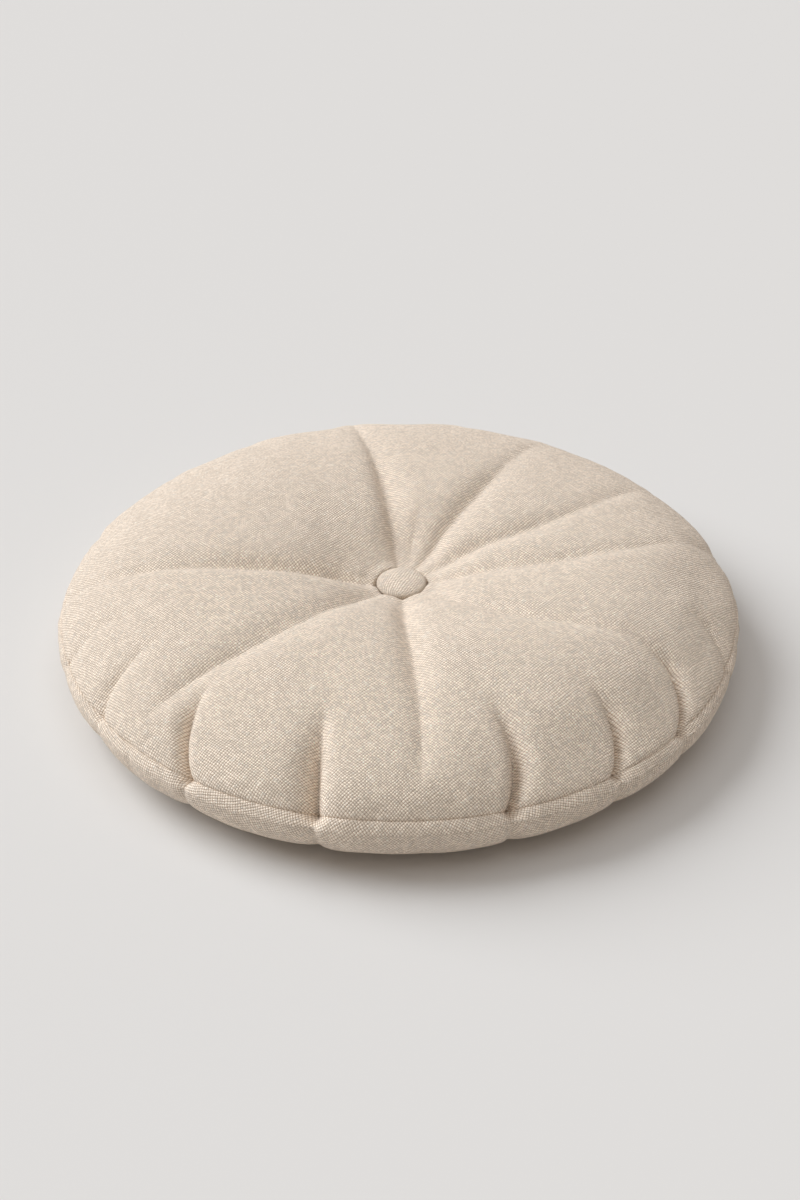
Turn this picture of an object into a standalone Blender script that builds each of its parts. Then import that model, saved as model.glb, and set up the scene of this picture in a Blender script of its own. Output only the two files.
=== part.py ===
"""Round zabuton: a filled floor cushion with a covered button drawn into its middle.

The cushion lies on its back on the plane Z = 0 and is centred on the Z axis. Its front
is at -Y, and bearings run counter-clockwise from +X. A station is a place along the
half section: 0 at the button's cup, 1 at the seam and 2 at the edge of the flat patch.
"""
import bpy
import math
from mathutils import Vector

MM = 0.001

# Cover: the filled form without its folds
COVER_RADIUS = 260.0 * MM       # widest place of the side
WIDEST_HEIGHT = 41.0 * MM       # height of that widest place
DOME_HEIGHT = 93.1 * MM         # height the middle would have if it were not drawn down
DOME_FLATNESS = 3.95            # more gives a flatter crown
DOME_ROUNDNESS = 1.36           # more gives a fuller shoulder
TUFT_DEPTH = 44.6 * MM          # how far the button draws the middle down
TUFT_REACH = 50.0 * MM          # how quickly the draw fades outwards
RESTING_RADIUS = 205.0 * MM     # flat patch on which the cushion lies

# Seat of the button: a smooth cup, a small gap wider than the button itself
SEAT_HEIGHT = 56.1 * MM
SEAT_RADIUS = 13.0 * MM
SEAT_RIM_RADIUS = 19.8 * MM

# Seam that joins the upper and the lower panel
SEAM_HEIGHT = 44.0 * MM
SEAM_RISE_TO_FRONT = 7.5 * MM   # it climbs at the front and falls as much at the back
SEAM_RISE_REACH = 45.0 * MM     # length of cover that shifts with it
SEAM_GROOVE_DEPTH = 1.8 * MM
SEAM_GROOVE_WIDTH = 2.6 * MM
SEAM_DRAW_DEPTH = 1.2 * MM      # soft trough in which the groove lies
SEAM_DRAW_WIDTH = 13.0 * MM

# Covered button
BUTTON_RADIUS = 19.0 * MM
BUTTON_RIM_HEIGHT = 63.0 * MM   # height of its widest place
BUTTON_CROWN = 4.8 * MM         # rise of the domed face above that
BUTTON_FULLNESS = 0.8           # 1 is an ellipse, less has a flatter face and rounder edge
BUTTON_BACK = 6.6 * MM          # drop to the flat back below that
BUTTON_BACK_RADIUS = 12.0 * MM
BUTTON_CENTRE = (1.6 * MM, 0.0) # it sits a little off the middle
OFF_CENTRE_REACH = 60.0 * MM    # radius over which the cover follows it

# Grid of the cushion's mesh
STEPS_PER_LINE = 8              # meridians from one gathering line to the next
LINE_CROWDING = 0.68            # how much they crowd towards the lines at the rim
UPPER_RINGS = 20
LOWER_RINGS = 10
RING_CROWDING = 0.42            # how much the rings crowd towards the button
SEAT_RINGS = 4                  # on the wall of the cup
GROOVE_RINGS = (-2.3, -0.9, 0.0, 0.9, 2.3)  # places across the seam's groove, in its widths
SECTION_SAMPLES = 400           # of each half of the section that the rings are read from
BUTTON_STEPS = 48
BUTTON_FACE_RINGS = 9
BUTTON_BACK_RINGS = 4

# Gathering lines, counter-clockwise. A line is a fold that the button pulls into the top,
# a pinch that the seam pulls into the side, or both. Its bearing is given at the button,
# on the crown, on the shoulder and at the seam, and its depth at the same four places;
# then the half width on the crown and at the seam, the lean, which is positive where the
# counter-clockwise wall is the longer one, and the station at which the pinch begins.
LINE_COLUMNS = (
    "name", "button_deg", "crown_deg", "shoulder_deg", "seam_deg",
    "button_mm", "crown_mm", "shoulder_mm", "seam_mm",
    "crown_width_mm", "seam_width_mm", "lean", "pinch_from",
)
LINE_ROWS = (
    ("right", 360.0, 360.0, 367.5, 374.0, 5.0, 3.6, 1.2, 1.6, 13.0, 8.0, 0.0, 0.80),
    ("right_back", 393.0, 385.0, 389.5, 394.0, 6.5, 5.0, 2.0, 1.0, 12.0, 8.0, -0.1, 0.86),
    ("back_right", 419.0, 417.0, 418.5, 417.0, 8.0, 6.0, 1.6, 1.0, 12.0, 8.0, -0.2, 0.86),
    ("back", 439.0, 438.0, 438.0, 437.5, 3.5, 0.0, 0.0, 1.0, 8.0, 7.0, -0.2, 0.90),
    ("back_left", 456.5, 456.5, 459.0, 459.0, 9.0, 7.5, 2.8, 1.0, 11.0, 7.0, -0.4, 0.86),
    ("left_back", 481.0, 481.0, 480.5, 480.5, 0.0, 0.0, 0.0, 1.6, 10.0, 8.0, 0.2, 0.86),
    ("left_back_2", 503.0, 503.0, 500.5, 500.5, 0.0, 0.0, 0.0, 2.0, 10.0, 7.0, -0.3, 0.86),
    ("left_back_3", 524.0, 523.0, 520.5, 520.5, 0.0, 0.0, 0.0, 2.2, 10.0, 8.0, 0.3, 0.84),
    ("left", 542.0, 541.8, 541.5, 540.5, 8.5, 6.5, 2.4, 2.0, 12.0, 8.0, -0.3, 0.80),
    ("left_2", 565.0, 559.0, 556.0, 557.5, 0.0, 0.0, 0.0, 2.8, 10.0, 7.0, -0.2, 0.84),
    ("left_front", 578.0, 572.0, 568.0, 573.5, 0.0, 0.0, 0.6, 4.8, 10.0, 7.0, -0.3, 0.74),
    ("front_left", 583.5, 586.5, 583.0, 583.5, 6.0, 2.8, 4.0, 0.0, 15.0, 9.0, -0.1, 0.80),
    ("front_left_low", 597.0, 597.0, 592.0, 595.3, 0.0, 0.0, 0.0, 10.0, 8.0, 5.0, -0.2, 0.68),
    ("front_left_2", 612.0, 612.0, 614.0, 617.0, 0.0, 0.0, 0.0, 15.0, 8.0, 7.5, -0.5, 0.64),
    ("front", 632.0, 634.5, 634.5, 633.0, 7.5, 7.0, 3.0, 0.0, 12.0, 8.0, 0.0, 0.70),
    ("front_right", 646.0, 648.0, 650.0, 646.2, 0.0, 0.0, 0.0, 12.0, 7.0, 5.0, 0.3, 0.62),
    ("front_right_2", 662.0, 666.0, 672.0, 665.8, 0.0, 0.0, 0.0, 8.0, 7.0, 4.6, 0.2, 0.68),
    ("right_front", 676.0, 680.0, 691.0, 681.5, 2.5, 1.8, 1.0, 8.5, 14.0, 4.6, 0.2, 0.70),
    ("right_front_2", 694.0, 698.0, 709.0, 701.0, 0.0, 0.0, 0.0, 4.0, 12.0, 8.0, 0.3, 0.78),
)
LINES = [dict(zip(LINE_COLUMNS, row)) for row in LINE_ROWS]
FOLD_POWER = 1.4                # section of a fold: 1 is a sharp crease, 2 a round trough
NARROWEST_TURN = 0.34           # half width that a fold has at most near the button, in radians
PINCH_BELOW = 0.4               # share of a pinch's depth that goes on below the seam
PINCH_STEP = 0.15               # share of the underside over which it eases to that
PINCH_END = 0.9                 # share of the underside over which the pinches run out
PINCH_FADE = 1.2                # how quickly they do
FOLDS_OPEN_BY = 0.03            # station at which the folds have their full depth
FLATTEN_OVER = 0.25             # share of the underside that eases into the flat patch

# Plump places of the side between the lines, and the two places where it sags: bearing,
# half width, height over the seam, and how far the cover lies out there.
LOBE_COLUMNS = ("bearing_deg", "half_width_deg", "above_seam_mm", "push_mm")
LOBE_ROWS = (
    (246.5, 10.0, 12.0, 1.6),
    (271.5, 12.5, 16.0, 5.0),
    (294.0, 8.0, 14.0, 1.8),
    (311.0, 8.0, 14.0, 1.5),
    (331.0, 9.0, 12.0, 1.2),
    (225.0, 9.0, 12.0, 1.0),
    (190.0, 12.0, 8.0, 1.2),
    (20.0, 20.0, 10.0, 1.4),
    (110.0, 24.0, 10.0, 1.5),
    (152.0, 16.0, 10.0, 1.2),
    (312.0, 30.0, 20.0, -7.5),
    (276.0, 16.0, 8.0, -2.5),
)
LOBES = [dict(zip(LOBE_COLUMNS, row)) for row in LOBE_ROWS]
LOBE_HALF_HEIGHT = 32.0 * MM

CLOTH_COLOUR = (0.70, 0.60, 0.50)
CLOTH_ROUGHNESS = 0.95
CLOTH_METALLIC = 0.0


def smooth_step(t):
    t = min(max(t, 0.0), 1.0)
    return t * t * (3.0 - 2.0 * t)


def through_four(values, t):
    """Smooth curve through four values at t = 0, 1/3, 2/3 and 1."""
    u = 3.0 * t
    a, b, c, d = values
    return (
        -a * (u - 1.0) * (u - 2.0) * (u - 3.0) / 6.0
        + b * u * (u - 2.0) * (u - 3.0) / 2.0
        - c * u * (u - 1.0) * (u - 3.0) / 2.0
        + d * u * (u - 1.0) * (u - 2.0) / 6.0
    )


def eased_through_four(values, t):
    """Curve that eases from each of four values at t = 0, 1/3, 2/3 and 1 to the next."""
    u = min(max(3.0 * t, 0.0), 3.0)
    k = min(int(u), 2)
    return values[k] + (values[k + 1] - values[k]) * smooth_step(u - k)


def dome_height(r):
    """Height of the upper side at radius r, drawn down by the button."""
    full = (1.0 - min(r / COVER_RADIUS, 1.0) ** DOME_FLATNESS) ** (1.0 / DOME_ROUNDNESS)
    dome = WIDEST_HEIGHT + (DOME_HEIGHT - WIDEST_HEIGHT) * full
    return dome - TUFT_DEPTH * math.exp(-r / TUFT_REACH)


def meridian():
    """Dense half section from the seat's rim over the side to the resting patch."""
    points = []
    samples = SECTION_SAMPLES
    for k in range(samples + 1):
        angle = 0.5 * math.pi * k / samples
        r = SEAT_RIM_RADIUS + (COVER_RADIUS - SEAT_RIM_RADIUS) * math.sin(angle)
        points.append((r, dome_height(r)))
    for k in range(1, samples + 1):
        angle = 0.5 * math.pi * k / samples
        r = RESTING_RADIUS + (COVER_RADIUS - RESTING_RADIUS) * math.cos(angle)
        points.append((r, WIDEST_HEIGHT * (1.0 - math.sin(angle))))
    run = [0.0]
    for (r0, z0), (r1, z1) in zip(points, points[1:]):
        run.append(run[-1] + math.hypot(r1 - r0, z1 - z0))
    return points, run


MERIDIAN, RUN = meridian()


def on_meridian(run):
    """Point and outward normal of the half section, by the length run along it."""
    low, high = 0, len(RUN) - 1
    while high - low > 1:
        middle = (low + high) // 2
        if RUN[middle] > run:
            high = middle
        else:
            low = middle
    share = min(max((run - RUN[low]) / (RUN[high] - RUN[low]), 0.0), 1.0)
    (r0, z0), (r1, z1) = MERIDIAN[low], MERIDIAN[high]
    length = math.hypot(r1 - r0, z1 - z0)
    normal = ((z0 - z1) / length, (r1 - r0) / length)
    return r0 + (r1 - r0) * share, z0 + (z1 - z0) * share, normal


def run_at_height(height):
    """Length run along the half section down to a height on the side."""
    widest = MERIDIAN.index((COVER_RADIUS, dome_height(COVER_RADIUS)))
    crown = max(range(widest), key=lambda k: MERIDIAN[k][1])
    for k in range(crown, len(MERIDIAN)):
        if MERIDIAN[k][1] <= height:
            return RUN[k]
    return RUN[-1]


SEAM_RUN = run_at_height(SEAM_HEIGHT)
END_RUN = RUN[-1]


def ring_runs():
    """Runs of the rings: close at the button and the seam, wider on the crown."""
    groove = [place * SEAM_GROOVE_WIDTH for place in GROOVE_RINGS]
    runs = []
    for k in range(UPPER_RINGS):
        t = k / UPPER_RINGS
        crowded = t - RING_CROWDING * math.sin(math.pi * t) * (1.0 - t)
        runs.append((SEAM_RUN + groove[0]) * crowded)
    runs.extend(SEAM_RUN + offset for offset in groove)
    first = runs[-1]
    for k in range(1, LOWER_RINGS + 1):
        runs.append(first + (END_RUN - first) * k / LOWER_RINGS)
    return runs


RING_RUNS = ring_runs()


def seat_profile():
    """Cup under the button, from the axis out to the first ring of the cover."""
    rim_height = dome_height(SEAT_RIM_RADIUS)
    points = [(0.0, SEAT_HEIGHT), (SEAT_RADIUS, SEAT_HEIGHT)]
    for k in range(1, SEAT_RINGS):
        angle = 0.5 * math.pi * k / SEAT_RINGS
        r = SEAT_RADIUS + (SEAT_RIM_RADIUS - SEAT_RADIUS) * math.sin(angle)
        z = SEAT_HEIGHT + (rim_height - SEAT_HEIGHT) * (1.0 - math.cos(angle))
        points.append((r, z))
    return points


def seam_rise(bearing):
    """How far the seam is above its mean height at a bearing."""
    return -SEAM_RISE_TO_FRONT * math.sin(bearing)


def line_bearings(station):
    """Bearings of all gathering lines at a station, in radians, counter-clockwise."""
    t = min(max(station, 0.0), 1.0)
    places = ("button_deg", "crown_deg", "shoulder_deg", "seam_deg")
    return [math.radians(through_four([line[place] for place in places], t)) for line in LINES]


def bearing_of(step, station):
    """Bearing of a meridian: it keeps its share of the way between two lines."""
    lines = line_bearings(station)
    lines.append(lines[0] + 2.0 * math.pi)
    sector, place = divmod(step, STEPS_PER_LINE)
    share = place / STEPS_PER_LINE
    crowding = LINE_CROWDING * smooth_step(station)
    share -= crowding * math.sin(2.0 * math.pi * share) / (2.0 * math.pi)
    return lines[sector] + (lines[sector + 1] - lines[sector]) * share


def line_depth(line, station):
    """Depth of a gathering line: its fold on the top, then its pinch, run out underneath."""
    if station > 1.0:
        past_seam = station - 1.0
        fade = max(1.0 - past_seam / PINCH_END, 0.0) ** PINCH_FADE
        kept = 1.0 - (1.0 - PINCH_BELOW) * smooth_step(past_seam / PINCH_STEP)
        return line["seam_mm"] * MM * fade * kept
    fold = eased_through_four(
        (line["button_mm"], line["crown_mm"], line["shoulder_mm"], 0.0), station
    )
    pinch_from = line["pinch_from"]
    pinch = line["seam_mm"] * smooth_step((station - pinch_from) / (1.0 - pinch_from))
    return (fold + pinch) * MM


def folds(bearing, station, radius):
    """Depth of all gathering lines together at one place of the cover."""
    total = 0.0
    width_share = smooth_step((station - 1.0 / 3.0) / (2.0 / 3.0))
    near_button = NARROWEST_TURN * radius
    for line, line_bearing in zip(LINES, line_bearings(station)):
        turn = math.remainder(bearing - line_bearing, 2.0 * math.pi)
        crown_width = line["crown_width_mm"] * MM
        seam_width = line["seam_width_mm"] * MM
        width = crown_width + (seam_width - crown_width) * width_share
        width = min(width, near_button)
        width *= 1.0 + math.copysign(1.0, turn) * line["lean"]
        total += line_depth(line, station) * math.exp(-abs(turn * radius / width) ** FOLD_POWER)
    return total


def lobes(bearing, above_seam):
    """How far the plump and the sagging places move the side at one place."""
    total = 0.0
    for lobe in LOBES:
        turn = math.remainder(bearing - math.radians(lobe["bearing_deg"]), 2.0 * math.pi)
        across = math.degrees(turn) / lobe["half_width_deg"]
        along = (above_seam - lobe["above_seam_mm"] * MM) / LOBE_HALF_HEIGHT
        total += lobe["push_mm"] * MM * math.exp(-across * across - along * along)
    return total


def seam_hollow(below_seam):
    """Groove and soft trough of the seam."""
    groove = SEAM_GROOVE_DEPTH * math.exp(-(below_seam / SEAM_GROOVE_WIDTH) ** 2)
    draw = SEAM_DRAW_DEPTH * math.exp(-(below_seam / SEAM_DRAW_WIDTH) ** 2)
    return groove + draw


def cover_point(step, run):
    """Place of one mesh point of the cover."""
    below_seam = run - SEAM_RUN
    if below_seam <= 0.0:
        station = run / SEAM_RUN
    else:
        station = 1.0 + below_seam / (END_RUN - SEAM_RUN)
    bearing = bearing_of(step, station)
    slide = -seam_rise(bearing) * math.exp(-(below_seam / SEAM_RISE_REACH) ** 2)
    radius, height, normal = on_meridian(run + slide)
    opening = smooth_step(station / FOLDS_OPEN_BY)
    closing = smooth_step((2.0 - station) / FLATTEN_OVER)
    push = lobes(bearing, -below_seam) - seam_hollow(below_seam)
    push -= folds(bearing, station, radius)
    push *= opening * closing
    radius += normal[0] * push
    height += normal[1] * push
    return Vector((radius * math.cos(bearing), radius * math.sin(bearing), height))


def cloth_material(name):
    material = bpy.data.materials.new(name)
    material.use_nodes = True
    shader = material.node_tree.nodes["Principled BSDF"]
    shader.inputs["Base Color"].default_value = (*CLOTH_COLOUR, 1.0)
    shader.inputs["Roughness"].default_value = CLOTH_ROUGHNESS
    shader.inputs["Metallic"].default_value = CLOTH_METALLIC
    return material


def turned_object(name, profile, steps, collection):
    """Solid of revolution: the profile runs down its outer side from axis to axis."""
    mesh = bpy.data.meshes.new(name)
    edges = [(k, k + 1) for k in range(len(profile) - 1)]
    mesh.from_pydata([(r, 0.0, z) for r, z in profile], edges, [])
    piece = bpy.data.objects.new(name, mesh)
    collection.objects.link(piece)
    screw = piece.modifiers.new("turn", 'SCREW')
    screw.steps = steps
    screw.render_steps = steps
    screw.use_merge_vertices = True
    screw.merge_threshold = 0.00005
    screw.use_smooth_shade = True
    piece.data.materials.append(cloth_material(name + "_cloth"))
    return piece


def nearest_ring(profile, r, z):
    """Number of the profile point from which a turned point came."""
    return min(range(len(profile)), key=lambda k: math.dist(profile[k], (r, z)))


def make_cushion(collection):
    """Turned cover whose points are then moved into its folds, lobes and seam."""
    seat = seat_profile()
    rings = [on_meridian(run)[:2] for run in RING_RUNS]
    profile = seat + rings + [(0.0, 0.0)]
    steps = STEPS_PER_LINE * len(LINES)
    cushion = turned_object("cushion", profile, steps, collection)

    depsgraph = bpy.context.evaluated_depsgraph_get()
    mesh = bpy.data.meshes.new_from_object(cushion.evaluated_get(depsgraph))
    cushion.modifiers.clear()
    cushion.data = mesh

    for vertex in mesh.vertices:
        x, y, z = vertex.co
        r = math.hypot(x, y)
        on_the_axis = r < 0.5 * SEAT_RADIUS
        if not on_the_axis:
            step = round(math.atan2(y, x) / (2.0 * math.pi) * steps) % steps
            ring = nearest_ring(profile, r, z)
            if ring < len(seat):
                bearing = bearing_of(step, 0.0)
                vertex.co = (r * math.cos(bearing), r * math.sin(bearing), z)
            else:
                vertex.co = cover_point(step, RING_RUNS[ring - len(seat)])
        if z > WIDEST_HEIGHT:
            pull = 1.0 - smooth_step((r - SEAT_RIM_RADIUS) / OFF_CENTRE_REACH)
            vertex.co.x += BUTTON_CENTRE[0] * pull
            vertex.co.y += BUTTON_CENTRE[1] * pull
    return cushion


def button_profile():
    """Domed face, rolled edge and flat back of the covered button."""
    points = [(0.0, BUTTON_RIM_HEIGHT + BUTTON_CROWN)]
    for k in range(1, BUTTON_FACE_RINGS + 1):
        angle = 0.5 * math.pi * k / BUTTON_FACE_RINGS
        r = BUTTON_RADIUS * math.sin(angle)
        points.append((r, BUTTON_RIM_HEIGHT + BUTTON_CROWN * math.cos(angle) ** BUTTON_FULLNESS))
    for k in range(1, BUTTON_BACK_RINGS + 1):
        angle = 0.5 * math.pi * k / BUTTON_BACK_RINGS
        r = BUTTON_BACK_RADIUS + (BUTTON_RADIUS - BUTTON_BACK_RADIUS) * math.cos(angle)
        points.append((r, BUTTON_RIM_HEIGHT - BUTTON_BACK * math.sin(angle)))
    points.append((0.0, BUTTON_RIM_HEIGHT - BUTTON_BACK))
    return points


def make_button(collection):
    button = turned_object("button", button_profile(), BUTTON_STEPS, collection)
    button.location = (BUTTON_CENTRE[0], BUTTON_CENTRE[1], 0.0)
    return button


def centre_on_axis(pieces):
    """Move the pieces together so that the cushion's box is centred on the Z axis."""
    cushion = pieces[0]
    xs = [vertex.co.x for vertex in cushion.data.vertices]
    ys = [vertex.co.y for vertex in cushion.data.vertices]
    shift = Vector((-(min(xs) + max(xs)) / 2.0, -(min(ys) + max(ys)) / 2.0, 0.0))
    for piece in pieces:
        piece.location += shift


def main():
    for old in list(bpy.data.objects):
        bpy.data.objects.remove(old, do_unlink=True)
    collection = bpy.data.collections.new("round_zabuton")
    bpy.context.scene.collection.children.link(collection)
    centre_on_axis([make_cushion(collection), make_button(collection)])


main()
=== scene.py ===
"""Round zabuton in undyed slubby linen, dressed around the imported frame."""
import math

import bpy
import numpy as np
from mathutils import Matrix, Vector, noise


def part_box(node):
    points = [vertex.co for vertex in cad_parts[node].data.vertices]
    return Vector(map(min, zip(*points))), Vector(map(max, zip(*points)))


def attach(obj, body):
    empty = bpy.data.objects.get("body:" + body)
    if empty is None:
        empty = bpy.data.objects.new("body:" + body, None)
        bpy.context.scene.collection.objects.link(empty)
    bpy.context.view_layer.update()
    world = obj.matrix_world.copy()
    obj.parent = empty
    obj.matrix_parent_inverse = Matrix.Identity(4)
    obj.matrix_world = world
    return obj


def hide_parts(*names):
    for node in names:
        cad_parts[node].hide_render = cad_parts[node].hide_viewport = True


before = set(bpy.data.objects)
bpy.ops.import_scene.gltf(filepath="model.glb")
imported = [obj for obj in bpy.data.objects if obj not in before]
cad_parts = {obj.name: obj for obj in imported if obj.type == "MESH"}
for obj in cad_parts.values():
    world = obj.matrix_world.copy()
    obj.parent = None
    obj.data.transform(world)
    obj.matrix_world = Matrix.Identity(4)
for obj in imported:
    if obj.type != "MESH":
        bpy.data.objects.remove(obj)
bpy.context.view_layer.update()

MM = 0.001

# Form of the cover, as in the frame's cushion
COVER_RADIUS = 260.0 * MM
WIDEST_HEIGHT = 41.0 * MM
DOME_HEIGHT = 93.1 * MM
DOME_FLATNESS = 3.95
DOME_ROUNDNESS = 1.36
TUFT_DEPTH = 44.6 * MM
TUFT_REACH = 50.0 * MM
RESTING_RADIUS = 205.0 * MM
SEAT_HEIGHT = 56.1 * MM
SEAT_RADIUS = 13.0 * MM
SEAT_RIM_RADIUS = 19.8 * MM
SEAM_HEIGHT = 44.0 * MM
SEAM_RISE_TO_FRONT = 7.5 * MM
SEAM_RISE_REACH = 45.0 * MM
BUTTON_OFFSET = 1.6 * MM
OFF_CENTRE_REACH = 60.0 * MM

# The cloth against the button's edge
HUG_REACH = 9.0 * MM
HUG_IN = 0.75 * MM
HUG_UP = 2.0 * MM

# The seam as sewn: a tight crease in a soft trough
SEAM_CREASE_DEPTH = 1.7 * MM
SEAM_CREASE_WIDTH = 1.3 * MM
SEAM_TROUGH_DEPTH = 0.7 * MM
SEAM_TROUGH_WIDTH = 9.0 * MM
SEAM_TURN_IN = 4.0 * MM

# Gathering lines: bearings at the button, crown, shoulder and seam, depths at the same
# places, half widths on the crown and at the seam, lean, and where the pinch begins.
# The front pinches are sharper and deeper here than in the frame's cushion
LINE_COLUMNS = (
    "name", "button_deg", "crown_deg", "shoulder_deg", "seam_deg",
    "button_mm", "crown_mm", "shoulder_mm", "seam_mm",
    "crown_width_mm", "seam_width_mm", "lean", "pinch_from",
)
LINE_ROWS = (
    ("right", 360.0, 360.0, 367.5, 374.0, 5.0, 3.6, 1.2, 1.6, 13.0, 8.0, 0.0, 0.80),
    ("right_back", 393.0, 385.0, 389.5, 394.0, 6.5, 5.0, 2.0, 1.0, 12.0, 8.0, -0.1, 0.86),
    ("back_right", 419.0, 417.0, 418.5, 417.0, 8.0, 6.0, 1.6, 1.0, 12.0, 8.0, -0.2, 0.86),
    ("back", 439.0, 438.0, 438.0, 437.5, 3.5, 0.0, 0.0, 1.0, 8.0, 7.0, -0.2, 0.90),
    ("back_left", 456.5, 456.5, 459.0, 459.0, 9.0, 7.5, 2.8, 1.0, 11.0, 7.0, -0.4, 0.86),
    ("left_back", 481.0, 481.0, 480.5, 480.5, 0.0, 0.0, 0.0, 1.6, 10.0, 8.0, 0.2, 0.86),
    ("left_back_2", 503.0, 503.0, 500.5, 500.5, 0.0, 0.0, 0.0, 2.0, 10.0, 7.0, -0.3, 0.86),
    ("left_back_3", 524.0, 523.0, 520.5, 520.5, 0.0, 0.0, 0.0, 2.2, 10.0, 8.0, 0.3, 0.84),
    ("left", 542.0, 541.8, 541.5, 540.5, 10.0, 7.5, 2.4, 2.0, 12.0, 8.0, -0.3, 0.80),
    ("left_2", 565.0, 559.0, 556.0, 557.5, 0.0, 0.0, 0.0, 2.8, 10.0, 7.0, -0.2, 0.84),
    ("left_front", 578.0, 572.0, 568.0, 573.5, 0.0, 0.0, 0.6, 4.8, 10.0, 7.0, -0.3, 0.74),
    ("front_left", 583.5, 586.5, 583.0, 583.5, 6.0, 2.8, 4.0, 0.0, 15.0, 9.0, -0.1, 0.80),
    ("front_left_low", 590.0, 589.0, 587.0, 595.0, 0.0, 0.0, 0.0, 13.5, 8.0, 4.6, -0.2, 0.68),
    ("front_left_2", 612.0, 612.0, 614.0, 617.0, 0.0, 0.0, 0.0, 20.0, 8.0, 7.0, -0.4, 0.62),
    ("front", 632.0, 634.5, 634.5, 633.0, 7.5, 7.0, 3.0, 0.0, 12.0, 8.0, 0.0, 0.70),
    ("front_right", 646.0, 648.0, 651.5, 647.4, 0.0, 0.0, 0.0, 16.5, 7.0, 4.6, 0.3, 0.60),
    ("front_right_2", 662.0, 666.0, 672.8, 666.6, 0.0, 0.0, 0.0, 11.5, 7.0, 4.2, 0.2, 0.66),
    ("right_front", 676.0, 680.0, 691.7, 682.2, 2.5, 1.8, 1.0, 11.5, 14.0, 4.2, 0.2, 0.68),
    ("right_front_2", 694.0, 698.0, 709.0, 701.0, 0.0, 0.0, 0.0, 4.0, 12.0, 8.0, 0.3, 0.78),
)
LINES = [dict(zip(LINE_COLUMNS, row)) for row in LINE_ROWS]
FOLD_REACH_SHARE = 0.8
FOLD_ROUNDING = 2.2 * MM
PINCH_ROUNDING = 0.9 * MM
NARROWEST_TURN = 0.27
PINCH_RISE = 1.3
PINCH_END = 0.9
PINCH_FADE = 1.2
PINCH_BELOW = 0.3
PINCH_STEP = 0.12
FOLDS_OPEN_BY = 0.12
FOLD_SHARE_AT_BUTTON = 0.45
FLATTEN_OVER = 0.25

# Plump places of the side: bearing, half width, height over the seam, push outwards
LOBE_COLUMNS = ("bearing_deg", "half_width_deg", "above_seam_mm", "push_mm")
LOBE_ROWS = (
    (246.5, 10.0, 12.0, 1.6),
    (271.5, 12.5, 16.0, 5.0),
    (294.0, 8.0, 14.0, 1.8),
    (311.0, 8.0, 14.0, 1.5),
    (331.0, 9.0, 12.0, 1.2),
    (225.0, 9.0, 12.0, 1.0),
    (190.0, 12.0, 8.0, 1.2),
    (20.0, 20.0, 10.0, 1.4),
    (110.0, 24.0, 10.0, 1.5),
    (152.0, 16.0, 10.0, 1.2),
    (312.0, 30.0, 20.0, -7.5),
    (276.0, 16.0, 8.0, -2.5),
    (301.0, 3.0, 14.0, 1.8),
    (317.0, 2.6, 16.0, 1.8),
    (281.5, 3.0, 12.0, 1.0),
    (261.5, 3.0, 12.0, 1.4),
)
LOBES = [dict(zip(LOBE_COLUMNS, row)) for row in LOBE_ROWS]
LOBE_HALF_HEIGHT = 32.0 * MM

# Camera, fitted to the photograph's outline, seam and button
CAMERA_DISTANCE = 1.2298
CAMERA_HEIGHT = 0.9379
CAMERA_SIDE = 0.0005
CAMERA_PITCH_DEG = 35.918
CAMERA_LENS = 59.37

# Soft key light from the back left, over an even pale surround
KEY_BEARING_DEG = 154.0
KEY_HEIGHT_DEG = 37.0
KEY_SPREAD_DEG = 46.0
KEY_STRENGTH = 2.75
TOP_SPREAD_DEG = 60.0
TOP_STRENGTH = 0.62
AMBIENT = 0.28
LIGHT_COLOUR = (0.975, 1.0, 1.03)
SURROUND_COLOUR = (1.09, 0.985, 0.895, 1.0)
FLOOR_COLOUR = (0.730, 0.722, 0.710, 1.0)
FLOOR_HALF_SIZE = 6.0

# Grid of the visible cover
STEPS_PER_LINE = 26
LINE_CROWDING = 0.6
UPPER_RINGS = 132
LOWER_RINGS = 56
SEAM_CLOSE_REACH = 9.0 * MM
SEAM_CLOSE_RINGS = 15
SEAM_CLOSENESS = 1.5
BUTTON_CROWDING = 0.16
CUP_RINGS = 9
PATCH_RINGS = 14
ALLOWANCE_RINGS = 2

# Simulated swelling of the cover between the places where it is held
PUFF_STEPS = 12
PUFF_UPPER_RINGS = 52
PUFF_LOWER_RINGS = 18
PUFF_INSET = 4.0 * MM
PUFF_FRAMES = 20
PUFF_QUALITY = 6
PUFF_CLOTH_MASS = 0.3
PUFF_CLOTH_BENDING = 0.4
PUFF_PRESSURE = 4.0
PUFF_SLACK = 0.02
PUFF_HELD_BY = 5.0
PUFF_CAP = 6.0 * MM
PUFF_SHARE = 0.6
PUFF_SMOOTHINGS = 2

# Small unevenness: size across, size along and height of each kind
LUMPS = ((46.0 * MM, 0.7 * MM), (17.0 * MM, 0.3 * MM))
SEAM_GATHER = (8.0 * MM, 30.0 * MM, 0.9 * MM)
SEAM_GATHER_REACH = 15.0 * MM
BUTTON_PUCKER = (7.0 * MM, 34.0 * MM, 1.3 * MM)
BUTTON_PUCKER_REACH = 26.0 * MM

# Covered button: face, rim and the gathered cloth underneath
BUTTON_STEPS = 192
BUTTON_FACE_RINGS = 29
BUTTON_BACK_RINGS = 13
BUTTON_RIM_ABOVE_BACK = 6.6 * MM
BUTTON_FACE_ROUNDNESS = 0.8
BUTTON_BACK_RADIUS = 12.0 * MM
BUTTON_BACK_DEPTH = 6.3 * MM
BUTTON_BACK_DRAWN_IN = 0.2 * MM
BUTTON_GATHERS = 24.0
BUTTON_GATHER_DEPTH = 0.15 * MM
BUTTON_CLOTH_SHARE = 1.1
BUTTON_CLOTH_TURN = 5.0 * MM

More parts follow.
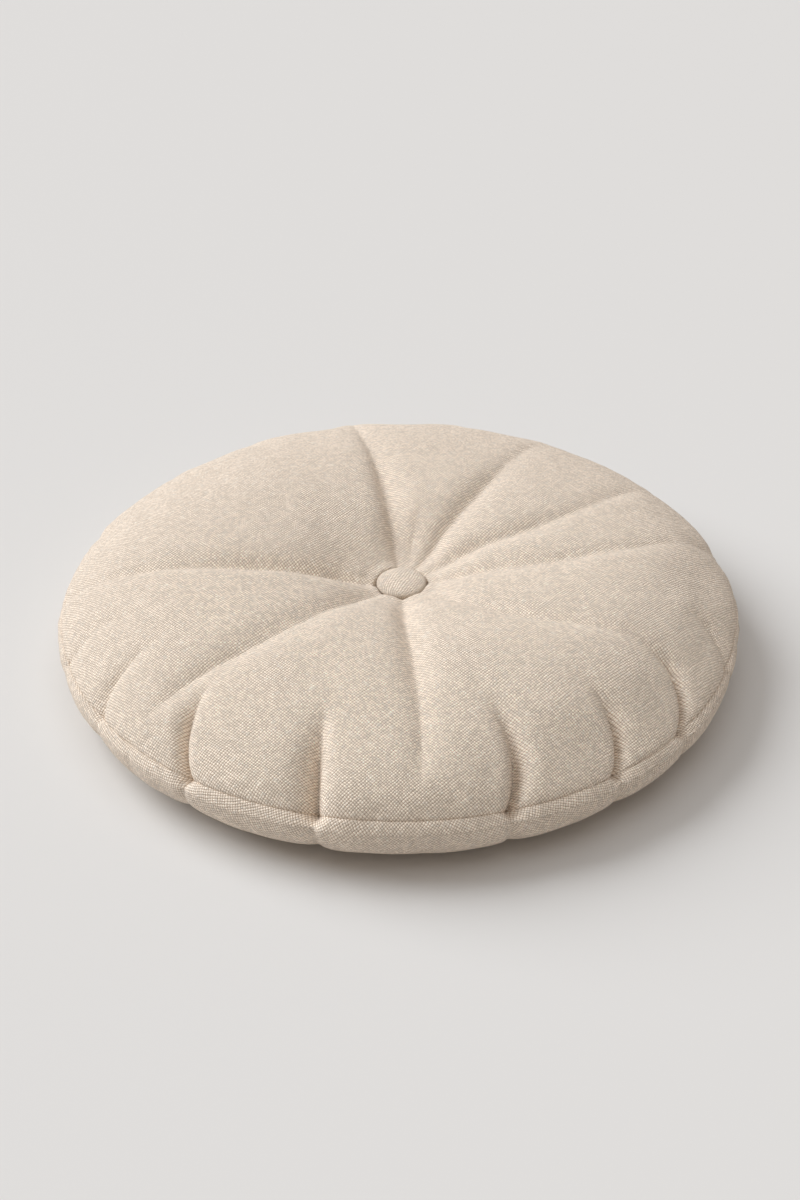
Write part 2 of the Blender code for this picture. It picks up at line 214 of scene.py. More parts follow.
# Weave: one thread every so many metres
THREAD_PITCH = 1.9 * MM
BUTTON_THREAD_PITCH = 1.6 * MM
COVER_WEAVE_TURN_DEG = 45.0
BUTTON_WEAVE_TURN_DEG = 20.0

# How far the threads stray: patches to the metre, and the distance
WANDER = (18.0, 6.0 * MM)
JITTER = (150.0, 1.6 * MM)

# Form of a thread, and how soft the change is where one crosses over another
THREAD_FLATNESS = 0.45
CROSSING_SOFTNESS = 0.12

# Streaks and slubs: how fast they change across and along a thread
STREAK = (1.3, 0.14)
SLUB = (0.8, 0.26)
SLUB_FROM = 0.60
SLUB_FULL = 0.72
FIBRES_PER_METRE = 1300.0
MOTTLES_PER_METRE = 90.0

# What each adds to the relief of the cloth
PLAIN_RELIEF = 0.45
THREAD_RELIEF = 0.5
CROSSING_RELIEF = 0.42
SLUB_RELIEF = 0.45
FIBRE_RELIEF = 0.25
RELIEF_HEIGHT = 0.55 * MM

# Colours of the linen, with painted shade as the colour of the gaps between threads, and how far
# each kind of unevenness changes them
# Painted shade: dark colour for the low places between and beside the threads
GAP_SHADE_COLOUR = (0.430, 0.312, 0.212, 1.0)
YARN_COLOUR = (1.000, 0.878, 0.748, 1.0)
SLUB_COLOUR = (1.000, 0.925, 0.820, 1.0)
SHEEN_COLOUR = (0.95, 0.9, 0.84, 1.0)
SLUB_PALENESS = 0.5
SPECKLE = (0.87, 1.13)
MOTTLE = (0.97, 1.03)
STREAK_DARKEST = 0.93
STREAK_GAIN = 0.14


def smooth_step(t):
    """0 below 0, 1 above 1, and an S-curve between."""
    t = np.clip(t, 0.0, 1.0)
    return t * t * (3.0 - 2.0 * t)


def through_four(values, t):
    """Smooth curve through four values at t = 0, 1/3, 2/3 and 1."""
    u = 3.0 * t
    a, b, c, d = values
    return (
        -a * (u - 1.0) * (u - 2.0) * (u - 3.0) / 6.0
        + b * u * (u - 2.0) * (u - 3.0) / 2.0
        - c * u * (u - 1.0) * (u - 3.0) / 2.0
        + d * u * (u - 1.0) * (u - 2.0) / 6.0
    )


def eased_through_four(values, t):
    """Curve that eases from each of four values at t = 0, 1/3, 2/3 and 1 to the next."""
    u = np.clip(3.0 * t, 0.0, 3.0)
    return sum(
        (values[k + 1] - values[k]) * smooth_step(u - k) for k in range(3)
    ) + values[0]


def dome_height(r):
    """Height of the upper side at a radius: a flat dome with the tuft's dip in it."""
    inside = 1.0 - np.minimum(r / COVER_RADIUS, 1.0) ** DOME_FLATNESS
    full = inside ** (1.0 / DOME_ROUNDNESS)
    dome = WIDEST_HEIGHT + (DOME_HEIGHT - WIDEST_HEIGHT) * full
    return dome - TUFT_DEPTH * np.exp(-r / TUFT_REACH)


def meridian():
    """Half section from the seat's rim to the resting patch: run, radius, height, normal."""
    quarter = np.linspace(0.0, 0.5 * math.pi, 1201)
    r_up = SEAT_RIM_RADIUS + (COVER_RADIUS - SEAT_RIM_RADIUS) * np.sin(quarter)
    r_down = RESTING_RADIUS + (COVER_RADIUS - RESTING_RADIUS) * np.cos(quarter[1:])
    r = np.concatenate([r_up, r_down])
    z = np.concatenate([dome_height(r_up), WIDEST_HEIGHT * (1.0 - np.sin(quarter[1:]))])
    run = np.concatenate([[0.0], np.cumsum(np.hypot(np.diff(r), np.diff(z)))])
    along_r = np.gradient(r, run)
    along_z = np.gradient(z, run)
    return run, r, z, -along_z, along_r


RUN, SECTION_R, SECTION_Z, NORMAL_R, NORMAL_Z = meridian()
CROWN_INDEX = int(np.argmax(SECTION_Z))
SEAM_RUN = float(RUN[CROWN_INDEX + int(np.argmax(SECTION_Z[CROWN_INDEX:] <= SEAM_HEIGHT))])
END_RUN = float(RUN[-1])


def station_of(run):
    """0 at the button's cup, 1 at the seam, 2 at the edge of the resting patch."""
    return np.where(
        run <= SEAM_RUN, run / SEAM_RUN, 1.0 + (run - SEAM_RUN) / (END_RUN - SEAM_RUN)
    )


def line_bearing(line, station):
    """Bearing of a gathering line, which keeps its place at the seam below it."""
    t = np.clip(station, 0.0, 1.0)
    places = ("button_deg", "crown_deg", "shoulder_deg", "seam_deg")
    return np.radians(through_four([line[place] for place in places], t))


def bearings_of(steps, station, crowding_at_seam):
    """Bearing of each meridian at each station, crowded towards the lines at the rim."""
    lines = np.stack([line_bearing(line, station) for line in LINES])
    lines = np.concatenate([lines, lines[:1] + 2.0 * math.pi])
    step = np.arange(steps * len(LINES))
    sector, place = np.divmod(step, steps)
    share = np.broadcast_to(place / steps, (len(station), len(step))).copy()
    crowding = (crowding_at_seam * smooth_step(station))[:, None]
    share -= crowding * np.sin(2.0 * math.pi * share) / (2.0 * math.pi)
    low = lines[sector].T
    high = lines[sector + 1].T
    return low + (high - low) * share


def turn_to(bearing, other):
    """Shortest turn from one bearing to another, from minus to plus half a turn."""
    return (bearing - other + math.pi) % (2.0 * math.pi) - math.pi


def line_depth(line, station):
    """Depth of a gathering line: the fold from the button, then the pinch at the seam."""
    places = (line["button_mm"], line["crown_mm"], line["shoulder_mm"], 0.0)
    pinch_from = line["pinch_from"]
    rise = np.clip((station - pinch_from) / (1.0 - pinch_from), 0.0, 1.0)
    pinch = line["seam_mm"] * smooth_step(rise * PINCH_RISE)
    above = eased_through_four(places, station) + pinch
    past_seam = np.clip(station - 1.0, 0.0, None)
    fade = np.clip(1.0 - past_seam / PINCH_END, 0.0, 1.0) ** PINCH_FADE
    share = PINCH_BELOW + (1.0 - PINCH_BELOW) * (1.0 - smooth_step(past_seam / PINCH_STEP))
    return np.where(station > 1.0, line["seam_mm"] * fade * share, above) * MM


def folds(bearing, station, radius):
    """Depth of all gathering lines together."""
    total = np.zeros_like(bearing)
    width_share = smooth_step((station - 1.0 / 3.0) * 1.5)
    rounding = FOLD_ROUNDING + (PINCH_ROUNDING - FOLD_ROUNDING) * width_share
    near_button = NARROWEST_TURN * radius
    for line in LINES:
        turn = turn_to(bearing, line_bearing(line, station))
        crown_width = line["crown_width_mm"] * MM
        width = crown_width + (line["seam_width_mm"] * MM - crown_width) * width_share
        width = np.minimum(width, near_button) * FOLD_REACH_SHARE
        width = width * (1.0 + np.sign(turn) * line["lean"])
        across = np.hypot(turn * radius, rounding) - rounding
        total += line_depth(line, station) * np.exp(-across / width)
    return total


def lobes(bearing, above_seam):
    """How far the plump and slack places push the side out or let it in."""
    total = np.zeros_like(bearing)
    for lobe in LOBES:
        across = np.degrees(turn_to(bearing, math.radians(lobe["bearing_deg"])))
        across = across / lobe["half_width_deg"]
        along = (above_seam - lobe["above_seam_mm"] * MM) / LOBE_HALF_HEIGHT
        total += lobe["push_mm"] * MM * np.exp(-across * across - along * along)
    return total


def plain_section(bearing, run):
    """Radius, height and outward normal of the cover before folds, lobes and seam."""
    reach = np.exp(-((run - SEAM_RUN) / SEAM_RISE_REACH) ** 2)
    at = run + SEAM_RISE_TO_FRONT * np.sin(bearing) * reach
    return [np.interp(at, RUN, part) for part in (SECTION_R, SECTION_Z, NORMAL_R, NORMAL_Z)]


def through_points(values, at, closed):
    """Smooth curve through the rows of an array, read at fractional row numbers."""
    count = len(values)
    low = np.clip(np.floor(at).astype(int), 0, count - 1)
    t = (at - low)[:, None]
    rows = [low - 1, low, low + 1, low + 2]
    if closed:
        a, b, c, d = (values[row % count] for row in rows)
    else:
        a, b, c, d = (values[np.clip(row, 0, count - 1)] for row in rows)
    bend = 2.0 * a - 5.0 * b + 4.0 * c - d
    twist = 3.0 * (b - c) + d - a
    return b + 0.5 * t * (c - a + t * (bend + t * twist))


def blown_up(cover):
    """Where a held mesh's vertices are after it is blown up from inside."""
    cloth = cover.modifiers.new("cloth", 'CLOTH')
    cloth.settings.quality = PUFF_QUALITY
    cloth.settings.mass = PUFF_CLOTH_MASS
    cloth.settings.bending_stiffness = PUFF_CLOTH_BENDING
    cloth.settings.use_pressure = True
    cloth.settings.uniform_pressure_force = PUFF_PRESSURE
    cloth.settings.shrink_min = -PUFF_SLACK
    cloth.settings.vertex_group_mass = "held"
    cloth.settings.effector_weights.gravity = 0.0
    cloth.collision_settings.use_collision = False
    cloth.point_cache.frame_start = 1
    cloth.point_cache.frame_end = PUFF_FRAMES
    scene = bpy.context.scene
    for frame_number in range(1, PUFF_FRAMES + 1):
        scene.frame_set(frame_number)
    swollen = cover.evaluated_get(bpy.context.evaluated_depsgraph_get()).to_mesh()
    places = np.empty(len(swollen.vertices) * 3, dtype=np.float32)
    swollen.vertices.foreach_get("co", places)
    scene.frame_set(1)
    return places.reshape(-1, 3)


def held_shares(station, shape):
    """How firmly each place is held: at the button, seam and underside, and by the folds."""
    held = np.zeros(shape)
    for k, line in enumerate(LINES):
        depth = line_depth(line, station) / MM
        held[:, k * PUFF_STEPS] = np.clip(depth / PUFF_HELD_BY, 0.0, 1.0)
    held[[0, 1, PUFF_UPPER_RINGS - 1, -2, -1]] = 1.0
    return held


def swell_cover():
    """How far the filling pushes a coarse cover out, from a cloth simulation.

    The plain section, a little too small, is held at the button, at the seam, underneath
    and in part along the gathering lines, and is blown up from inside.
    """
    upper = np.linspace(0.0, SEAM_RUN, PUFF_UPPER_RINGS)
    lower = np.linspace(SEAM_RUN, END_RUN, PUFF_LOWER_RINGS)[1:]
    runs = np.concatenate([upper, lower])
    station = station_of(runs)
    bearing = bearings_of(PUFF_STEPS, station, LINE_CROWDING)
    run = np.broadcast_to(runs[:, None], bearing.shape)
    radius, height, normal_r, normal_z = plain_section(bearing, run)
    normal = np.stack([normal_r * np.cos(bearing), normal_r * np.sin(bearing), normal_z], axis=-1)
    points = np.stack([radius * np.cos(bearing), radius * np.sin(bearing), height], axis=-1)
    points = points - normal * PUFF_INSET
    ends = [(points[k].mean(axis=0), np.zeros(3)) for k in (0, -1)]
    cover = grid_mesh("swelling_cover", points, np.zeros_like(points), *ends)
    group = cover.vertex_groups.new(name="held")
    held = held_shares(station, bearing.shape).ravel().tolist() + [1.0, 1.0]
    for number, weight in enumerate(held):
        group.add([number], weight, 'REPLACE')
    moved = blown_up(cover)[:bearing.size].reshape(points.shape) - points
    bpy.data.objects.remove(cover, do_unlink=True)

    puff = (moved * normal).sum(axis=-1)
    puff -= puff.mean(axis=1, keepdims=True)
    for _ in range(PUFF_SMOOTHINGS):
        puff = (np.roll(puff, 1, axis=1) + 2.0 * puff + np.roll(puff, -1, axis=1)) / 4.0
        puff[1:-1] = (puff[:-2] + 2.0 * puff[1:-1] + puff[2:]) / 4.0
    return runs, np.clip(puff, -PUFF_CAP, PUFF_CAP) * PUFF_SHARE


def puff_at(swelling, runs, steps):
    """The simulated swelling read at the rings and meridians of a finer grid."""
    if swelling is None:
        return 0.0
    coarse_runs, puff = swelling
    rings = np.interp(runs, coarse_runs, np.arange(len(coarse_runs)))
    columns = np.arange(steps * len(LINES)) * (PUFF_STEPS / steps)
    return through_points(through_points(puff, rings, False).T, columns, True).T


def ripple(x, y, z):
    """Soft noise from about minus to plus one, read at each place."""
    flat_x, flat_y, flat_z = (np.ravel(a).tolist() for a in np.broadcast_arrays(x, y, z))
    values = [noise.noise((a, b, c)) for a, b, c in zip(flat_x, flat_y, flat_z)]
    return np.array(values).reshape(np.shape(x))


def unevenness(bearing, run, radius, height):
    """Lumps of the filling, gathers along the seam and puckers round the button."""
    x = radius * np.cos(bearing)
    y = radius * np.sin(bearing)
    total = sum(depth * ripple(x / size, y / size, height / size) for size, depth in LUMPS)
    below_seam = np.abs(run - SEAM_RUN)
    across, along, depth = SEAM_GATHER
    gather = ripple(x / across, y / across, below_seam / along)
    total += depth * gather * np.exp(-below_seam / SEAM_GATHER_REACH)
    across, along, depth = BUTTON_PUCKER
    ring = SEAT_RIM_RADIUS / across
    pucker = ripple(ring * np.cos(bearing), ring * np.sin(bearing), run / along)
    return total + depth * pucker * np.exp(-run / BUTTON_PUCKER_REACH)


def cover_surface(bearing, run, puff):
    """Points of the cover: the plain section with its lobes, folds, swelling and seam."""
    below_seam = run - SEAM_RUN
    station = station_of(run)
    radius, height, normal_r, normal_z = plain_section(bearing, run)
    push = lobes(bearing, -below_seam) - folds(bearing, station, radius) + puff
    push += unevenness(bearing, run, radius, height)
    push *= smooth_step((2.0 - station) / FLATTEN_OVER)
    opening = smooth_step(station / FOLDS_OPEN_BY)
    push *= FOLD_SHARE_AT_BUTTON + (1.0 - FOLD_SHARE_AT_BUTTON) * opening
    crease = SEAM_CREASE_DEPTH * np.exp(-np.abs(below_seam) / SEAM_CREASE_WIDTH)
    trough = SEAM_TROUGH_DEPTH * np.exp(-(below_seam / SEAM_TROUGH_WIDTH) ** 2)
    push -= crease + trough
    radius = radius + normal_r * push
    height = height + normal_z * push
    x = radius * np.cos(bearing)
    y = radius * np.sin(bearing)
    pull = 1.0 - smooth_step((radius - SEAT_RIM_RADIUS) / OFF_CENTRE_REACH)
    x = x + np.where(station < 1.0, BUTTON_OFFSET * pull, 0.0)
    return np.stack([x, y, height], axis=-1)


def frame_shift():
    """Where the frame put the middle of the section, from its button."""
    low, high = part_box("button")
    return np.array([
        (low[0] + high[0]) / 2.0 - BUTTON_OFFSET,
        (low[1] + high[1]) / 2.0,
        0.0,
    ])


SHIFT = frame_shift()


def grid_mesh(name, points, flat, close_first=None, close_last=None):
    """Mesh of rings of points, each ring closed, with an optional centre point at each end."""
    rings, steps = points.shape[:2]
    vertices = points.reshape(-1, 3)
    flats = flat.reshape(-1, 3)
    index = np.arange(rings * steps).reshape(rings, steps)
    after = np.roll(index, -1, axis=1)
    quads = np.stack([index[:-1], index[1:], after[1:], after[:-1]], axis=-1).reshape(-1, 4)
    faces = quads.tolist()
    ends = ((close_first, 0, False), (close_last, rings - 1, True))
    for centre, ring, flip in ends:
        if centre is None:
            continue
        vertices = np.concatenate([vertices, [centre[0]]])
        flats = np.concatenate([flats, [centre[1]]])
        middle = len(vertices) - 1
        for a, b in zip(index[ring].tolist(), after[ring].tolist()):
            faces.append((a, middle, b) if flip else (middle, a, b))
    mesh = bpy.data.meshes.new(name)
    mesh.from_pydata(vertices.tolist(), [], faces)
    mesh.shade_smooth()
    layer = mesh.attributes.new("flat", 'FLOAT_VECTOR', 'POINT')
    layer.data.foreach_set("vector", flats.astype(np.float32).ravel())
    piece = bpy.data.objects.new(name, mesh)
    bpy.context.scene.collection.objects.link(piece)
    return piece


def flat_of(bearing, spread):
    """Where a point lies on the cut panel, in metres from the panel's middle."""
    return np.stack([
        spread * np.cos(bearing), spread * np.sin(bearing), np.zeros_like(bearing)
    ], axis=-1)


def upper_runs():
    """Runs of the upper panel's rings, close at the button and very close at the seam."""
    t = np.linspace(0.0, 1.0, UPPER_RINGS)
    crowded = t - BUTTON_CROWDING * np.sin(math.pi * t) * (1.0 - t)
    inward = np.linspace(1.0, 0.0, SEAM_CLOSE_RINGS)[1:] ** SEAM_CLOSENESS
    close = SEAM_RUN - SEAM_CLOSE_REACH * inward
    return np.concatenate([(SEAM_RUN - SEAM_CLOSE_REACH) * crowded, close])


def lower_runs():
    """Runs of the lower panel's rings, very close at the seam."""
    outward = np.linspace(0.0, 1.0, SEAM_CLOSE_RINGS)[:-1] ** SEAM_CLOSENESS
    close = SEAM_RUN + SEAM_CLOSE_REACH * outward
    return np.concatenate([close, np.linspace(SEAM_RUN + SEAM_CLOSE_REACH, END_RUN, LOWER_RINGS)])


def turned_in(edge):
    """Rings of seam allowance that lead from a panel's edge into the cushion."""
    inward = edge * np.array([-1.0, -1.0, 0.0])
    inward /= np.linalg.norm(inward, axis=-1, keepdims=True)
    shares = [(k + 1) / ALLOWANCE_RINGS for k in range(ALLOWANCE_RINGS)]
    return [edge + inward * (SEAM_TURN_IN * share) for share in shares]


def hug_button(points, run):
    """Draw the cloth's inmost rings in and up, against the button's edge."""
    near = 1.0 - smooth_step(run / HUG_REACH)
    out = points[..., :2] - np.array([BUTTON_OFFSET, 0.0])
    out = out / np.linalg.norm(out, axis=-1, keepdims=True)
    points[..., :2] -= out * (HUG_IN * near)[..., None]
    points[..., 2] += HUG_UP * near


def button_cup(edge, edge_flat, around):
    """Rings of cloth from the seat under the button up to the panel's inmost ring."""
    seat_flat = flat_of(around, np.full(len(around), SEAT_RADIUS))
    seat = seat_flat + np.array([BUTTON_OFFSET, 0.0, SEAT_HEIGHT])
    cup = [seat]
    cup_flat = [seat_flat]
    for angle in np.linspace(0.0, 0.5 * math.pi, CUP_RINGS)[-2:0:-1]:
        inward = 1.0 - math.cos(angle)
        down = np.array([inward, inward, math.sin(angle)])
        cup.append(edge + (seat - edge) * down)
        cup_flat.append(edge_flat + (seat_flat - edge_flat) * angle / (0.5 * math.pi))
    return cup, cup_flat


def make_upper_panel(swelling):
    """Crowned upper panel, from the seat under the button to the seam's allowance."""
    runs = upper_runs()
    bearing = bearings_of(STEPS_PER_LINE, station_of(runs), LINE_CROWDING)
    run = np.broadcast_to(runs[:, None], bearing.shape)
    points = cover_surface(bearing, run, puff_at(swelling, runs, STEPS_PER_LINE))
    hug_button(points, run)
    flat = flat_of(bearing, run + SEAT_RIM_RADIUS)
    cup, cup_flat = button_cup(points[0], flat[0], bearing[0])
    points = np.concatenate([np.array(cup), points, np.array(turned_in(points[-1]))])
    flat = np.concatenate([np.array(cup_flat), flat, np.array([flat[-1]] * ALLOWANCE_RINGS)])
    centre = np.array([BUTTON_OFFSET, 0.0, SEAT_HEIGHT]) + SHIFT
    return grid_mesh("cover_upper_panel", points + SHIFT, flat, close_first=(centre, np.zeros(3)))


def make_lower_panel(swelling):
    """Lower panel, from the seam's allowance round the edge to the middle underneath."""
    runs = lower_runs()
    bearing = bearings_of(STEPS_PER_LINE, station_of(runs), LINE_CROWDING)
    run = np.broadcast_to(runs[:, None], bearing.shape)
    points = cover_surface(bearing, run, puff_at(swelling, runs, STEPS_PER_LINE))
    flat = flat_of(bearing, END_RUN - run + RESTING_RADIUS)
    inner = np.linspace(RESTING_RADIUS, 0.0, PATCH_RINGS)[1:-1]
    patch = np.array([flat_of(bearing[-1], np.full(bearing.shape[1], r)) for r in inner])
    allowance = turned_in(points[0])[::-1]
    points = np.concatenate([np.array(allowance), points, patch])
    flat = np.concatenate([np.array([flat[0]] * ALLOWANCE_RINGS), flat, patch])
    return grid_mesh("cover_lower_panel", points + SHIFT, flat, close_last=(SHIFT, np.zeros(3)))


class Nodes:
    """Short names for building a material's nodes."""

    def __init__(self, material):
        self.tree = material.node_tree
        self.links = self.tree.links

    def new(self, kind, **settings):
        node = self.tree.nodes.new(kind)
        for key, value in settings.items():
            setattr(node, key, value)
        return node

    def put(self, socket, value):
        if isinstance(value, bpy.types.NodeSocket):
            self.links.new(value, socket)
        else:
            socket.default_value = value

    def math(self, operation, *values, clamp=False):
        node = self.new("ShaderNodeMath", operation=operation, use_clamp=clamp)
        for socket, value in zip(node.inputs, values):
            self.put(socket, value)
        return node.outputs[0]

    def vector(self, operation, *values):
        node = self.new("ShaderNodeVectorMath", operation=operation)
        for socket, value in zip(node.inputs, values):
            self.put(socket, value)
        return node.outputs[0]

    def scaled(self, vector, factor):
        node = self.new("ShaderNodeVectorMath", operation='SCALE')
        self.put(node.inputs["Vector"], vector)
        node.inputs["Scale"].default_value = factor
        return node.outputs[0]

    def combine(self, x, y, z=0.0):
        node = self.new("ShaderNodeCombineXYZ")
        for socket, value in zip(node.inputs, (x, y, z)):
            self.put(socket, value)
        return node.outputs[0]

    def split(self, vector):
        node = self.new("ShaderNodeSeparateXYZ")
        self.put(node.inputs[0], vector)
        return node.outputs

    def noise(self, vector, scale, detail=2.0, roughness=0.5, colour=False):
        node = self.new("ShaderNodeTexNoise")
        self.put(node.inputs["Vector"], vector)
        node.inputs["Scale"].default_value = scale
        node.inputs["Detail"].default_value = detail
        node.inputs["Roughness"].default_value = roughness
        return node.outputs["Color" if colour else "Fac"]

    def ramp(self, value, low, high, to_low=0.0, to_high=1.0):
        node = self.new("ShaderNodeMapRange", interpolation_type='SMOOTHSTEP')
        for socket, number in zip(node.inputs, (value, low, high, to_low, to_high)):
            self.put(socket, number)
        return node.outputs[0]

    def stretched_noise(self, u, v, scale_u, scale_v, place=0.0, detail=2.0):
        scaled = [self.math('MULTIPLY', at, scale) for at, scale in ((u, scale_u), (v, scale_v))]
        return self.noise(self.combine(*scaled, place), 1.0, detail)

    def mix(self, share, a, b):
        node = self.new("ShaderNodeMix", data_type='FLOAT')
        for socket, value in zip((node.inputs[0], node.inputs[2], node.inputs[3]), (share, a, b)):
            self.put(socket, value)
        return node.outputs[0]

    def mix_colour(self, share, a, b, blend='MIX'):
        node = self.new("ShaderNodeMix", data_type='RGBA', blend_type=blend)
        for socket, value in zip((node.inputs[0], node.inputs[6], node.inputs[7]), (share, a, b)):
            self.put(socket, value)
        return node.outputs[2]


def thread_places(n, flat, pitch):
    """Place on the panel counted in threads each way, with the threads straying a little."""
    middle = (0.5, 0.5, 0.5)
    moved = flat
    for (patches, distance), detail in ((WANDER, 2.0), (JITTER, 1.0)):
        stray = n.vector('SUBTRACT', n.noise(flat, patches, detail, colour=True), middle)
        moved = n.vector('ADD', moved, n.scaled(stray, distance))
    u, v, _ = n.split(n.scaled(moved, 1.0 / pitch))
    return u, v


def plain_weave(n, u, v):
    """Roundness of the threads, and which of the two lies on top."""
    sin_u = n.math('SINE', n.math('MULTIPLY', u, math.pi))
    sin_v = n.math('SINE', n.math('MULTIPLY', v, math.pi))
    round_u = n.math('ABSOLUTE', sin_u)
    round_v = n.math('ABSOLUTE', sin_v)
    over = n.ramp(n.math('MULTIPLY', sin_u, sin_v), -CROSSING_SOFTNESS, CROSSING_SOFTNESS)
    warp = n.math('MULTIPLY', round_u, n.math('POWER', round_v, THREAD_FLATNESS))
    weft = n.math('MULTIPLY', round_v, n.math('POWER', round_u, THREAD_FLATNESS))
    return n.mix(over, weft, warp), over


def linen(name, pitch, turn_deg):
    """Plain weave of uneven, slubby threads, with painted shade between them, read from the cut
    panel's own plane.
    """
    material = bpy.data.materials.new(name)
    material.use_nodes = True
    n = Nodes(material)
    shader = material.node_tree.nodes["Principled BSDF"]

    turned = n.new("ShaderNodeVectorRotate", rotation_type='Z_AXIS')
    turned.inputs["Angle"].default_value = math.radians(turn_deg)
    flat = n.new("ShaderNodeAttribute", attribute_name="flat").outputs["Vector"]
    n.put(turned.inputs["Vector"], flat)
    flat = turned.outputs[0]
    u, v = thread_places(n, flat, pitch)
    weave, over = plain_weave(n, u, v)

    cell = n.new("ShaderNodeTexWhiteNoise", noise_dimensions='2D')
    n.put(cell.inputs["Vector"], n.combine(n.math('FLOOR', u), n.math('FLOOR', v)))
    cell = cell.outputs["Value"]
    across, along = STREAK
    streak_u = n.stretched_noise(u, v, across, along)
    streak_v = n.stretched_noise(u, v, along, across, 5.0)
    thread = n.ramp(n.mix(over, streak_v, streak_u), 0.30, 0.70)
    across, along = SLUB
    slub_u = n.stretched_noise(u, v, across, along, 7.0, 0.0)
    slub_v = n.stretched_noise(u, v, along, across, 3.0, 0.0)
    slub = n.ramp(n.mix(over, slub_v, slub_u), SLUB_FROM, SLUB_FULL)
    fibre = n.noise(flat, FIBRES_PER_METRE, 2.0, 0.6)
    mottle = n.noise(flat, MOTTLES_PER_METRE, 3.0, 0.6)

    height = n.math('MULTIPLY', thread, THREAD_RELIEF)
    height = n.math('ADD', height, n.math('MULTIPLY', cell, CROSSING_RELIEF))
    height = n.math('ADD', height, n.math('MULTIPLY', slub, SLUB_RELIEF))
    relief = n.math('MULTIPLY', weave, n.math('ADD', height, PLAIN_RELIEF))
    relief = n.math('ADD', relief, n.math('MULTIPLY', fibre, FIBRE_RELIEF))

    # Painted shade: the colour darkens from the yarn's own towards the gap colour where the
    # threads dip
    colour = n.mix_colour(n.ramp(weave, 0.00, 0.60), GAP_SHADE_COLOUR, YARN_COLOUR)
    colour = n.mix_colour(n.math('MULTIPLY', slub, SLUB_PALENESS), colour, SLUB_COLOUR)
    speckle = n.ramp(cell, 0.0, 1.0, *SPECKLE)
    streak = n.math('ADD', n.math('MULTIPLY', thread, STREAK_GAIN), STREAK_DARKEST)
    patch = n.ramp(mottle, 0.3, 0.7, *MOTTLE)
    tone = n.math('MULTIPLY', n.math('MULTIPLY', patch, speckle), streak)
    colour = n.mix_colour(1.0, colour, n.combine(tone, tone, tone), 'MULTIPLY')
    n.put(shader.inputs["Base Color"], colour)
    n.put(shader.inputs["Roughness"], n.ramp(relief, 0.2, 1.2, 0.98, 0.86))
    shader.inputs["Specular IOR Level"].default_value = 0.2
    shader.inputs["Sheen Weight"].default_value = 0.2
    shader.inputs["Sheen Roughness"].default_value = 0.6
    shader.inputs["Sheen Tint"].default_value = SHEEN_COLOUR

    bump = n.new("ShaderNodeBump")
    bump.inputs["Strength"].default_value = 1.0
    bump.inputs["Distance"].default_value = RELIEF_HEIGHT
    n.put(bump.inputs["Height"], relief)
    n.put(shader.inputs["Normal"], bump.outputs[0])
    return material


def make_button_cloth():
    """Cloth-covered button: domed face and rolled edge, a little gathered underneath."""
    low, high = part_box("button")
    centre_x = (low[0] + high[0]) / 2.0
    centre_y = (low[1] + high[1]) / 2.0
    radius = (high[0] - low[0]) / 2.0
    rim = low[2] + BUTTON_RIM_ABOVE_BACK
    crown = high[2] - rim
    bearing = np.linspace(0.0, 2.0 * math.pi, BUTTON_STEPS, endpoint=False)
    rings = []
    flats = []
    for angle in np.linspace(0.0, 0.5 * math.pi, BUTTON_FACE_RINGS)[1:]:
        r = np.full(BUTTON_STEPS, radius * math.sin(angle))
        z = rim + crown * max(math.cos(angle), 0.0) ** BUTTON_FACE_ROUNDNESS
        spread = radius * angle / (0.5 * math.pi) * BUTTON_CLOTH_SHARE
        rings.append(flat_of(bearing, r) + np.array([0.0, 0.0, z]))
        flats.append(flat_of(bearing, np.full(BUTTON_STEPS, spread)))
    for angle in np.linspace(0.0, 0.5 * math.pi, BUTTON_BACK_RINGS)[1:]:
        r = BUTTON_BACK_RADIUS + (radius - BUTTON_BACK_RADIUS) * math.cos(angle)
        gather = BUTTON_GATHER_DEPTH * math.sin(angle) * np.sin(BUTTON_GATHERS * bearing)
        r = r - BUTTON_BACK_DRAWN_IN * math.sin(angle) + gather
        z = rim - BUTTON_BACK_DEPTH * math.sin(angle)
        spread = radius * BUTTON_CLOTH_SHARE + BUTTON_CLOTH_TURN * angle
        rings.append(flat_of(bearing, r) + np.array([0.0, 0.0, z]))
        flats.append(flat_of(bearing, np.full(BUTTON_STEPS, spread)))
    points = np.array(rings) + np.array([centre_x, centre_y, 0.0])
    top = (np.array([centre_x, centre_y, high[2]]), np.zeros(3))
    bottom = (np.array([centre_x, centre_y, rim - BUTTON_BACK_DEPTH]), np.zeros(3))
    return grid_mesh("covered_button", points, np.array(flats), top, bottom)


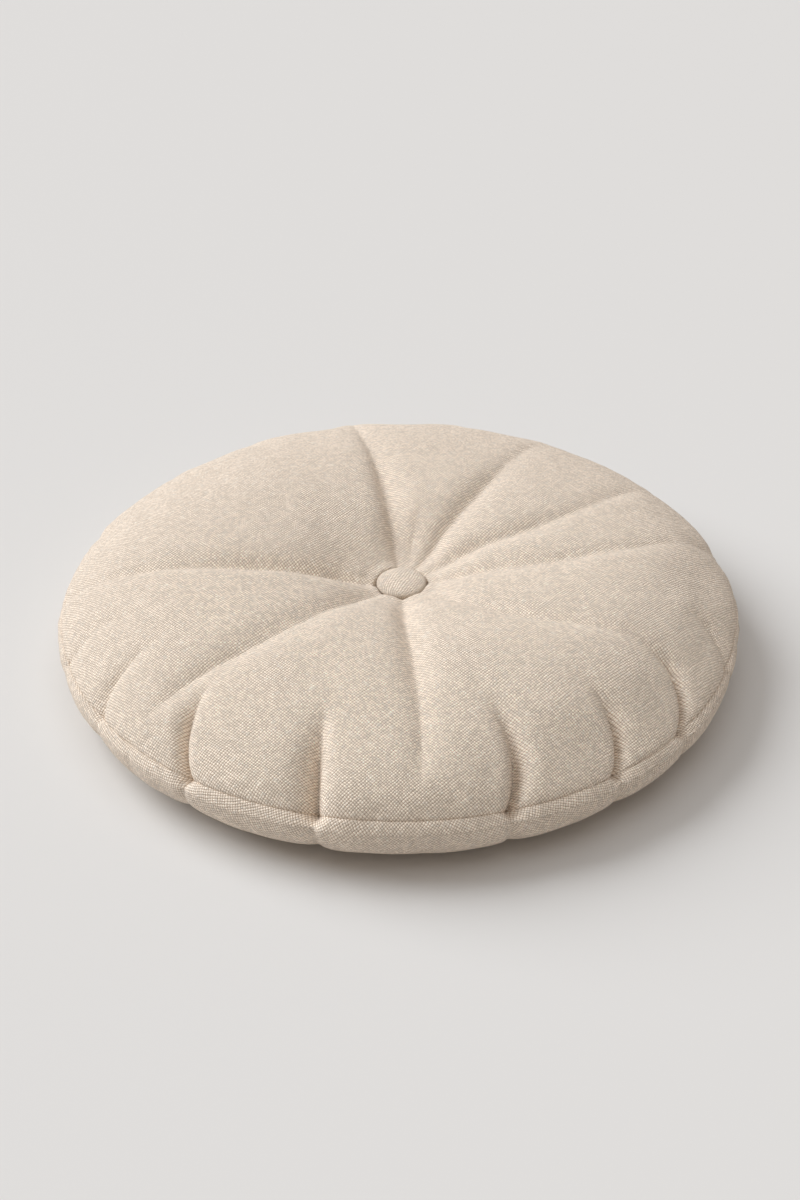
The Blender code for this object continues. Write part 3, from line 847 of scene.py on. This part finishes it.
def make_floor():
    """Plain pale floor."""
    mesh = bpy.data.meshes.new("floor")
    size = FLOOR_HALF_SIZE
    corners = [(-size, -size, 0.0), (size, -size, 0.0), (size, size, 0.0), (-size, size, 0.0)]
    mesh.from_pydata(corners, [], [(0, 1, 2, 3)])
    floor = bpy.data.objects.new("floor", mesh)
    bpy.context.scene.collection.objects.link(floor)
    material = bpy.data.materials.new("floor_paint")
    material.use_nodes = True
    shader = material.node_tree.nodes["Principled BSDF"]
    shader.inputs["Base Color"].default_value = FLOOR_COLOUR
    shader.inputs["Roughness"].default_value = 0.9
    shader.inputs["Specular IOR Level"].default_value = 0.2
    mesh.materials.append(material)


def make_lights():
    """Even surround, soft key light from the back left and a softer one from above."""
    world = bpy.data.worlds.new("studio")
    bpy.context.scene.world = world
    world.use_nodes = True
    background = world.node_tree.nodes["Background"]
    background.inputs["Color"].default_value = SURROUND_COLOUR
    background.inputs["Strength"].default_value = AMBIENT

    rows = (
        ("key", KEY_STRENGTH, KEY_SPREAD_DEG, KEY_BEARING_DEG, KEY_HEIGHT_DEG),
        ("top", TOP_STRENGTH, TOP_SPREAD_DEG, 0.0, 90.0),
    )
    for name, strength, spread, bearing, height in rows:
        data = bpy.data.lights.new(name, 'SUN')
        data.energy = strength
        data.angle = math.radians(spread)
        data.color = LIGHT_COLOUR
        lamp = bpy.data.objects.new(name, data)
        lamp.rotation_euler = (math.radians(90.0 - height), 0.0, math.radians(bearing + 90.0))
        bpy.context.scene.collection.objects.link(lamp)


def make_camera():
    """Camera of the photograph."""
    data = bpy.data.cameras.new("camera")
    data.lens = CAMERA_LENS
    camera = bpy.data.objects.new("camera", data)
    camera.location = (SHIFT[0] + CAMERA_SIDE, SHIFT[1] - CAMERA_DISTANCE, CAMERA_HEIGHT)
    camera.rotation_euler = (math.radians(90.0 - CAMERA_PITCH_DEG), 0.0, 0.0)
    bpy.context.scene.collection.objects.link(camera)
    bpy.context.scene.camera = camera


def main():
    """Make every piece, dress it and set the stage."""
    cloth = linen("linen_cover", THREAD_PITCH, COVER_WEAVE_TURN_DEG)
    swelling = swell_cover()
    upper = make_upper_panel(swelling)
    lower = make_lower_panel(swelling)
    button = make_button_cloth()
    for panel in (upper, lower):
        panel.data.materials.append(cloth)
        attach(panel, "root")
        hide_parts("cushion")
    button.data.materials.append(linen("linen_button", BUTTON_THREAD_PITCH, BUTTON_WEAVE_TURN_DEG))
    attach(button, "root")
    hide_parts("button")

    make_floor()
    make_lights()
    make_camera()
    bpy.context.scene.view_settings.view_transform = 'Standard'


main()
